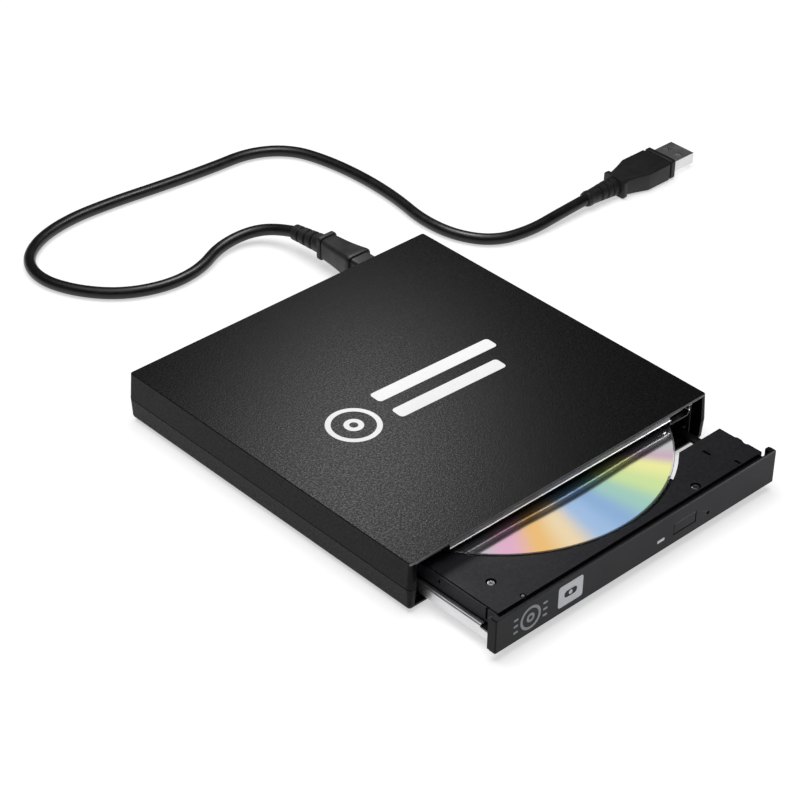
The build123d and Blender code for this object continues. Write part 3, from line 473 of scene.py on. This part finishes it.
def lens_glass():
    return clear_plastic("lens_glass_coated", (0.62, 0.6, 0.78), 0.02)


def led_clear():
    """The status lens: milky, so that the lamp behind it spreads."""
    f = Finish("led_clear_diffuse", (0.42, 0.43, 0.44), Transmission_Weight=0.35, IOR=1.56)
    f.roughness(f.between(f.noise(2.0), 0.3, 0.7, 0.3, 0.4))
    return f.bump(f.noise(0.5), 0.004)


# Colours of the recording layer by share of a turn: its own silver, and pastel bands of painted
# reflection for its diffraction colours; 0.25 is the sector nearest the bezel.
SILVER = (0.64, 0.64, 0.67)
FAN = [                         # rose, orange, peach, sky, blue, sea green, lime, lemon
    (0.9, 0.5, 0.7), (1.0, 0.6, 0.2), (1.0, 0.8, 0.5), (0.4, 0.6, 0.9),
    (0.3, 0.5, 0.8), (0.4, 0.7, 0.6), (0.7, 0.9, 0.4), (1.0, 1.0, 0.4),
]
FAN_START = 0.14
FAN_STEP = 0.029
FAR_SIDE = [(0.64, (0.7, 0.6, 0.55)), (0.72, (0.55, 0.6, 0.7)), (0.8, (0.7, 0.75, 0.6))]
PAINTED_RAINBOW = [
    (0.0, SILVER), (0.11, SILVER),
    *((FAN_START + FAN_STEP * step, tint) for step, tint in enumerate(FAN)),
    (0.36, (0.7, 0.5, 0.6)), (0.375, SILVER), (0.56, SILVER), *FAR_SIDE, (0.88, SILVER), (1.0, SILVER),
]
TRACK_PITCH = 0.8 * MM


def disc_mirror():
    """The reflecting layer: fine circular tracks under pastel bands of painted diffraction reflection.
    """
    f = Finish("disc_mirror_tracks", (0.6, 0.6, 0.64), Metallic=0.9, Coat_Weight=0.4,
               Coat_Roughness=0.12)
    centred = f.add("ShaderNodeMapping", vector_type="POINT")
    centred.inputs["Location"].default_value = (-DISC_CENTRE.x, -DISC_CENTRE.y, 0)
    f.link(f.place, centred.inputs["Vector"])
    angle = f.add("ShaderNodeTexGradient", gradient_type="RADIAL")
    f.link(centred.outputs["Vector"], angle.inputs["Vector"])
    f.colour(f.ramp(angle.outputs["Fac"], PAINTED_RAINBOW, "EASE"))
    f.roughness(f.between(f.noise(14.0, 3.0), 0.3, 0.7, 0.11, 0.14))
    radius = f.add("ShaderNodeVectorMath", operation="LENGTH")
    f.link(centred.outputs["Vector"], radius.inputs[0])
    phase = f.add("ShaderNodeMath", operation="MULTIPLY")
    phase.inputs[1].default_value = 2 * math.pi / TRACK_PITCH
    f.link(radius.outputs["Value"], phase.inputs[0])
    tracks = f.add("ShaderNodeMath", operation="SINE")
    f.link(phase.outputs[0], tracks.inputs[0])
    return f.bump(tracks.outputs[0], 0.0002)


def print_white():
    """White pad-printed ink on the sleeve."""
    return moulded("print_white_ink", (0.9, 0.9, 0.9), 0.3, 0.006, 0.5, mottle=0.04)


def print_grey():
    """Grey ink of the ringed mark on the bezel."""
    return moulded("print_grey_ink", (0.135, 0.14, 0.15), 0.3, 0.006, 0.5, mottle=0.12)


def print_pale():
    """Pale ink of the plate on the bezel."""
    return moulded("print_pale_ink", (0.30, 0.31, 0.33), 0.3, 0.006, 0.5, mottle=0.1)


def disc_clear():
    """Bare polycarbonate at the disc's hub and rim."""
    return clear_plastic("disc_clear_polycarbonate", (0.93, 0.94, 0.96), 0.03)


def spring_wire():
    return plated("spring_wire_bright", (0.55, 0.55, 0.56), 0.25, 0.3)


SLOT_FINISHES = (
    case_plastic, tray_plastic, bezel_plastic, rubber_black, sheet_steel, chassis_black, bright_steel,
    screw_steel, board_green, chip_black, connector_black, guide_white, flex_amber, cast_grey,
    disc_mirror, lens_glass, led_clear, copper_coil, cord_pvc, plug_pvc, insert_white,
)
FINISHES = {make.__name__: make().material for make in SLOT_FINISHES}   # by slot
cord.data.materials.append(FINISHES["cord_pvc"])

for part in frame["record"]["subparts"]:
    node = frame["nodes"][part["node"]]
    for material_slot in node.material_slots:
        material_slot.material = FINISHES[part["material_slot"]]


def soften(name, width):
    """Round a CAD node's sharp edges by a fraction of a millimetre, with modifiers only."""
    node = frame["nodes"][name]
    weld = node.modifiers.new("weld", "WELD")
    weld.merge_threshold = 0.001 * MM
    bevel = node.modifiers.new("edges", "BEVEL")
    bevel.width = width * MM
    bevel.segments = 2
    bevel.limit_method = "ANGLE"
    bevel.angle_limit = math.radians(35)
    bevel.miter_outer = "MITER_ARC"
    smooth = node.modifiers.new("shading", "WEIGHTED_NORMAL")
    smooth.keep_sharp = False


SOFT_EDGES = {"front_bezel": 0.12, "eject_button": 0.12, "left_rail": 0.08, "right_rail": 0.08}
for name, width in SOFT_EDGES.items():
    soften(name, width)


# ---- pieces modelled here ----
def skin(name, rings, wrap=False, sharp=35.0):
    """A closed mesh over rings of points, its ends capped or, with wrap, joined to each other."""
    mesh = bmesh.new()
    rows = [[mesh.verts.new(point) for point in ring] for ring in rings]
    pairs = list(zip(rows, rows[1:]))
    if wrap:
        pairs.append((rows[-1], rows[0]))
    else:
        mesh.faces.new(reversed(rows[0]))
        mesh.faces.new(rows[-1])
    for low, high in pairs:
        for k in range(len(low)):
            after = (k + 1) % len(low)
            mesh.faces.new((low[k], low[after], high[after], high[k]))
    bmesh.ops.recalc_face_normals(mesh, faces=mesh.faces)
    for face in mesh.faces:
        face.smooth = True
    data = bpy.data.meshes.new(name)
    mesh.to_mesh(data)
    mesh.free()
    data.set_sharp_from_angle(angle=math.radians(sharp))
    return data


def piece(name, data, body, slot, material, *nodes):
    """Put a mesh on a body, in place of the CAD nodes named last."""
    made = bpy.data.objects.new(name, data)
    bpy.context.scene.collection.objects.link(made)
    data.materials.append(material)
    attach(made, body)
    if nodes:
        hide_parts(*nodes)
    return made


def turned(name, outline, centre, steps=160, sharp=35.0):
    """An (r, z) outline in millimetres turned about an upright axis through a point."""
    rings = []
    for k in range(steps):
        angle = 2 * math.pi * k / steps
        rings.append([centre + Vector((r * math.cos(angle), r * math.sin(angle), z)) * MM
                      for r, z in outline])
    return skin(name, rings, wrap=True, sharp=sharp)


def oblong(width, height, radius, per_corner=6):
    """A rounded rectangle's outline as (u, v) points, in millimetres."""
    points = []
    for k, (su, sv) in enumerate(((1, 1), (-1, 1), (-1, -1), (1, -1))):
        for j in range(per_corner + 1):
            angle = math.pi / 2 * (k + j / per_corner)
            points.append((su * (width / 2 - radius) + radius * math.cos(angle),
                           sv * (height / 2 - radius) + radius * math.sin(angle)))
    return points


def sweep_sections(name, start, end, stations, sharp=35.0):
    """A body along a straight line; stations are (distance, width, height, corner radius) in mm."""
    along = (end - start).normalized()
    across = along.cross(Vector((0, 0, 1))).normalized()
    up = across.cross(along)
    rings = []
    for distance, width, height, radius in stations:
        middle = start + along * distance * MM
        rings.append([middle + across * u * MM + up * v * MM for u, v in oblong(width, height, radius)])
    return skin(name, rings, sharp=sharp)


# ---- disc, in millimetres from its axis and its underside ----
DISC_TOP = 1.2
DISC_HOLE = 7.5
MIRROR_IN = 22.0
MIRROR_OUT = 59.35
DISC_OUT = 60.0


def make_disc():
    """Clear hub with its stacking ring, the metallised band, and the clear rim."""
    base = Vector((DISC_CENTRE.x, DISC_CENTRE.y, DISC_LOW.z))
    hub = [(DISC_HOLE, 0.05), (7.6, 0.0), (16.4, 0.0), (16.6, 0.12), (17.4, 0.12), (17.6, 0.0),
           (MIRROR_IN, 0.0), (MIRROR_IN, DISC_TOP), (17.2, DISC_TOP), (17.1, 1.12), (16.9, 1.12),
           (16.8, DISC_TOP), (7.6, DISC_TOP), (DISC_HOLE, 1.15)]
    band = [(MIRROR_IN, 0.0), (MIRROR_OUT, 0.0), (MIRROR_OUT, DISC_TOP), (46.0, DISC_TOP),
            (23.2, DISC_TOP), (23.1, 1.17), (22.9, 1.17), (22.8, DISC_TOP), (MIRROR_IN, DISC_TOP)]
    rim = [(MIRROR_OUT, 0.0), (59.85, 0.0), (DISC_OUT, 0.12), (DISC_OUT, 1.08), (59.85, DISC_TOP),
           (MIRROR_OUT, DISC_TOP)]
    clear = disc_clear().material
    for name, outline, steps, slot, material in (
            ("disc_hub_clear", hub, 160, "lens_glass", clear),
            ("disc_band", band, 240, "disc_mirror", FINISHES["disc_mirror"]),
            ("disc_rim_clear", rim, 240, "lens_glass", clear)):
        piece(name, turned(name, outline, base, steps), "spindle", slot, material, "disc")


# ---- plugs, in the CAD source's millimetres ----
SMALL_PLUG_X = 46.8
SMALL_PLUG_Y = (69.42, 99.4)
SMALL_PLUG_Z = 9.0
SMALL_SLEEVE = (46.6, 99.0, 8.9)        # where the small plug's ribbed sleeve starts
LARGE_PLUG_X = (149.0, 193.6)
LARGE_PLUG_Y = 62.8
LARGE_PLUG_Z = 4.3
PLAIN_END = 1.6                         # of a ribbed sleeve, before its first groove
RIBBED_STEPS = 72


def ribbed(first, last, start_width, end_width, grooves, depth, rib, gap):
    """Stations of a tapering sleeve with rounded ribs: grooves are gap wide and depth deep."""
    stations = []
    pitch = rib + gap
    for k in range(RIBBED_STEPS + 1):
        share = k / RIBBED_STEPS
        distance = (last - first) * share
        along = distance - PLAIN_END
        grooved = along % pitch > rib and 0 < along < grooves * pitch
        dip = math.sin(math.pi * (along % pitch - rib) / gap) if grooved else 0.0
        width = start_width + (end_width - start_width) * share - 2 * depth * min(1.0, 1.6 * dip)
        stations.append((first + distance, width, width, width * 0.49))
    return stations


def plug_piece(name, node, start, end, stations, sharp=35.0):
    """One piece of a plug, in place of its CAD node."""
    data = sweep_sections(name, start, end, stations, sharp)
    piece(name, data, "housing", "plug_pvc", FINISHES["plug_pvc"], node)


def make_small_plug():
    """The mini plug's grip: neck, flaring body with a thumb rest, flange and ribbed sleeve."""
    start, end = (mm(SMALL_PLUG_X, y, SMALL_PLUG_Z) for y in SMALL_PLUG_Y)
    grip = [(0.0, 8.8, 7.8, 1.2), (0.25, 9.2, 8.2, 1.4), (10.3, 9.2, 8.2, 1.4), (10.7, 9.4, 8.4, 1.4),
            (10.85, 10.8, 9.6, 1.8), (11.3, 11.35, 10.15, 2.0), (12.2, 11.4, 10.2, 2.1)]
    for k in range(1, 12):
        t = k / 12
        pinch = 0.35 * math.sin(math.pi * t)
        grip.append((12.2 + 15.2 * t, 11.4 - 3.4 * t - pinch, 10.2 - 1.6 * t - 1.2 * pinch,
                     2.1 - 0.3 * t))
    grip += [(27.5, 7.9, 8.5, 1.7), (27.9, 7.7, 8.3, 1.7), (28.0, 8.4, 9.5, 1.6),
             (28.25, 8.6, 9.8, 1.7), (29.6, 8.6, 9.8, 1.7), (29.95, 8.1, 9.2, 1.6)]
    plug_piece("small_plug_grip", "small_plug", start, end, grip)
    base, cord_start = mm(*SMALL_SLEEVE), mm(*CORD_ROUTE[0])
    length = (cord_start - base).length / MM
    sleeve = ribbed(0.0, length, 7.6, 6.1, 3, 0.7, 2.4, 1.2) + [(length + 0.25, 5.4, 5.4, 2.6)]
    plug_piece("small_plug_sleeve", "small_plug", base, cord_start, sleeve)


def make_large_plug():
    """The large plug: ribbed sleeve with a bulb end, flange, widening grip, groove and collar."""
    start, end = (mm(x, LARGE_PLUG_Y, LARGE_PLUG_Z) for x in LARGE_PLUG_X)
    sleeve = [(0.0, 4.8, 4.8, 2.3), (0.3, 5.8, 5.8, 2.8), (1.4, 6.3, 6.3, 3.0), (2.6, 6.2, 6.2, 3.0)]
    sleeve += ribbed(3.0, 16.7, 5.9, 7.9, 4, 0.75, 1.9, 1.2)
    plug_piece("large_plug_sleeve", "large_plug", start, end, sleeve)
    grip = [(16.6, 10.6, 7.6, 1.4), (16.85, 11.4, 8.3, 1.6), (18.2, 11.4, 8.3, 1.6),
            (18.45, 10.6, 7.6, 1.4), (18.55, 9.2, 7.2, 1.3), (19.4, 9.3, 7.3, 1.2),
            (24.0, 11.6, 7.6, 0.9), (28.6, 14.8, 7.9, 0.9), (29.2, 15.1, 8.0, 1.0),
            (40.8, 15.1, 8.0, 1.0), (41.1, 14.6, 7.6, 1.0), (41.2, 13.4, 7.0, 0.9),
            (42.1, 13.4, 7.0, 0.9), (42.2, 14.2, 7.8, 1.0), (42.5, 14.6, 8.2, 1.1),
            (44.2, 14.6, 8.2, 1.1), (44.55, 14.1, 7.7, 1.0)]
    plug_piece("large_plug_grip", "large_plug", start, end, grip, 22.0)


# ---- ejector spring, in millimetres ----
SPRING_TURNS = 8
SPRING_STEPS = 20               # to a turn
WIRE_R = 0.16
COIL_R = 0.95


def make_spring():
    """Eight turns of wire between the housing's wall and the pusher, drawn closer at the ends."""
    front, back = mm(8.0, -8.85, 7.0), mm(8.0, 0.85, 7.0)
    rings = []
    for k in range(SPRING_TURNS * SPRING_STEPS + 1):
        share = k / (SPRING_TURNS * SPRING_STEPS)
        angle = 2 * math.pi * SPRING_TURNS * share
        eased = share + 0.035 * math.sin(-2 * math.pi * share)
        outward = Vector((math.cos(angle), 0, math.sin(angle)))
        middle = front + (back - front) * eased + outward * COIL_R * MM
        rings.append([middle + (outward * math.cos(a) + Vector((0, 1, 0)) * math.sin(a)) * WIRE_R * MM
                      for a in (2 * math.pi * j / 8 for j in range(8))])
    spring = piece("ejector_spring_wire", skin("ejector_spring_wire", rings, sharp=60.0), "tray",
                   "screw_steel", spring_wire().material, "ejector_spring")
    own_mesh(spring)


# ---- printed marks, in millimetres ----
INK = 0.03
# The lid's marks lie along axes of their own, turned a little from the sleeve's.
TOP_MARK_TURN = math.radians(-2.3)
TOP_RING = (-31.8, -5.0)
TOP_RINGS = {"top_mark_ring": (9.5, 7.6), "top_mark_hub": (3.4, 1.5)}       # outer and inner radius
TOP_BARS = {                                                                # centre, width and height
    "top_mark_bar_long": (9.6, 2.2, 53.0, 5.6),
    "top_mark_bar_short": (6.6, -9.0, 47.0, 5.6),
}
BEZEL_RING = (-49.6, 9.6)
BEZEL_RINGS = {"bezel_mark_ring": (4.4, 3.4), "bezel_mark_hub": (1.7, 0.8)}
BEZEL_PLATE = (-32.2, 10.0)


def flat_mark(name, outline, plane, material, body, slot, hole=None):
    """A thin layer of ink over an outline on a plane's (origin, u axis, v axis), less a hole."""
    origin, u_axis, v_axis = plane
    out = u_axis.cross(v_axis).normalized()

    def ring(points, height):
        return [origin + (u_axis * u + v_axis * v + out * height) * MM for u, v in points]

    if hole:
        rings = [ring(outline, 0.0), ring(outline, INK), ring(hole, INK), ring(hole, 0.0)]
    else:
        rings = [ring(outline, 0.0), ring(outline, INK)]
    piece(name, skin(name, rings, wrap=bool(hole)), body, slot, material)


def circle(radius, steps=72):
    return [(radius * math.cos(2 * math.pi * k / steps), radius * math.sin(2 * math.pi * k / steps))
            for k in range(steps)]


def moved(outline, u, v):
    return [(a + u, b + v) for a, b in outline]


def make_marks():
    """A plain disc pictogram and two plain bars on top, and two plain marks on the bezel."""
    white = print_white().material
    turn = TOP_MARK_TURN
    top = (mm(0, 0, 0) + Vector((0, 0, ROOF_Z)), Vector((math.cos(turn), math.sin(turn), 0)),
           Vector((-math.sin(turn), math.cos(turn), 0)))
    for name, (outer, inner) in TOP_RINGS.items():
        flat_mark(name, moved(circle(outer), *TOP_RING), top, white, "housing", "insert_white",
                  moved(circle(inner), *TOP_RING))
    for name, (u, v, width, height) in TOP_BARS.items():
        flat_mark(name, moved(oblong(width, height, 1.4), u, v), top, white, "housing", "insert_white")

    grey, pale = print_grey().material, print_pale().material
    front = (Vector((0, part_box("front_bezel")[0].y, 0)), Vector((1, 0, 0)), Vector((0, 0, 1)))
    for name, (outer, inner) in BEZEL_RINGS.items():
        flat_mark(name, moved(circle(outer), *BEZEL_RING), front, grey, "tray", "bezel_plastic",
                  moved(circle(inner), *BEZEL_RING))
    u, v = BEZEL_RING
    for k in range(6):
        bar = moved(oblong(1.9, 0.8, 0.3), u + (-6.3 if k % 2 else 6.3), v + 2.4 * (k // 2 - 1))
        flat_mark(f"bezel_mark_bar_{k}", bar, front, grey, "tray", "bezel_plastic")
    flat_mark("bezel_mark_plate", moved(oblong(10.8, 8.2, 1.0), *BEZEL_PLATE), front, pale, "tray",
              "insert_white", moved(oblong(5.6, 2.6, 1.2), *BEZEL_PLATE))
    flat_mark("bezel_mark_dot", moved(circle(0.8), *BEZEL_PLATE), front, pale, "tray", "insert_white")


make_disc()
make_small_plug()
make_large_plug()
make_spring()
make_marks()


# ---- surroundings ----
FLOOR_HALF = 20.0
FLOOR_Z = -0.0001               # just under the feet, so that the two don't share a plane
OVERHEAD = (-0.1, 0.1, 1.5)
OVERHEAD_SIZE = 1.4


def make_floor():
    mesh = bpy.data.meshes.new("floor")
    corners = [(x * FLOOR_HALF, y * FLOOR_HALF, 0) for x, y in ((-1, -1), (1, -1), (1, 1), (-1, 1))]
    mesh.from_pydata(corners, [], [(0, 1, 2, 3)])
    floor = bpy.data.objects.new("floor", mesh)
    floor.location.z = FLOOR_Z
    bpy.context.scene.collection.objects.link(floor)
    paper = Finish("floor_paper", (0.9, 0.9, 0.9), Roughness=0.8, Specular_IOR_Level=0.1,
                   Emission_Color=(1.0, 1.0, 1.0, 1.0), Emission_Strength=0.56)
    paper.colour(paper.ramp(paper.noise(400.0), [(0.3, (0.89, 0.89, 0.89)), (0.7, (0.91, 0.91, 0.91))]))
    mesh.materials.append(paper.material)
    return floor


def area_light(name, place, target, size, power, size_y=None, along=None):
    """A lamp aimed at a point; along, when given, is the direction that its first side lies in."""
    data = bpy.data.lights.new(name, "AREA")
    data.shape = "RECTANGLE"
    data.size = size
    data.size_y = size_y or size
    data.energy = power
    light = bpy.data.objects.new(name, data)
    light.location = place
    light.visible_camera = False
    light.rotation_mode = "QUATERNION"
    aim = (Vector(target) - Vector(place)).normalized()
    light.rotation_quaternion = aim.to_track_quat("-Z", "Y")
    if along:
        first = (Vector(along) - aim * aim.dot(Vector(along))).normalized()
        turn = Matrix((first, aim.cross(first) * -1, -aim)).transposed()
        light.rotation_quaternion = turn.to_quaternion()
    bpy.context.scene.collection.objects.link(light)
    return light


def only_on(light, pieces, exclude=False):
    """Let a lamp light only these pieces, or everything but them."""
    group = bpy.data.collections.new(light.name + "_receivers")
    for made in pieces:
        group.objects.link(made)
    light.light_linking.receiver_collection = group
    if exclude:
        for entry in group.collection_objects:
            entry.light_linking.link_state = "EXCLUDE"


def make_lights(floor):
    """One lamp for the paper, one card for the disc, one for the front, and two for the rest."""
    world = bpy.data.worlds.new("studio")
    world.use_nodes = True
    background = world.node_tree.nodes["Background"]
    background.inputs["Color"].default_value = (0.97, 0.98, 1.0, 1)
    background.inputs["Strength"].default_value = 0.06
    bpy.context.scene.world = world
    bpy.context.scene.view_settings.view_transform = "Standard"

    disc = [bpy.data.objects[name] for name in ("disc_hub_clear", "disc_band", "disc_rim_clear")]
    front = [frame["nodes"][name] for name in ("front_bezel", "eject_button", "led_lens", "drive_lid")]
    front += [o for o in bpy.data.objects if o.name.startswith("bezel_mark")]
    only_on(area_light("paper_light", OVERHEAD, (0, 0.05, 0), OVERHEAD_SIZE, power=15.0), [floor])
    only_on(area_light("overhead", OVERHEAD, (0, 0.05, 0), OVERHEAD_SIZE, power=11.5), [floor],
            exclude=True)
    only_on(area_light("back_softbox", mm(80, 125, 185), mm(-30, 0, 19), 0.07, power=0.35,
                       size_y=0.11, along=(0, 1, 0)), [floor, *disc], exclude=True)
    only_on(area_light("front_card", mm(60, -100, 9) + Vector((0.72, -0.66, 0.22)) * 0.35,
                       mm(40, -100, 9), 0.2, power=2.2), front)
    only_on(area_light("disc_card", mm(20, -85, 13) + Vector((0.55, 0.61, 0.58)) * 0.5,
                       mm(5, -85, 13), 0.5, power=0.63), disc)


make_lights(make_floor())
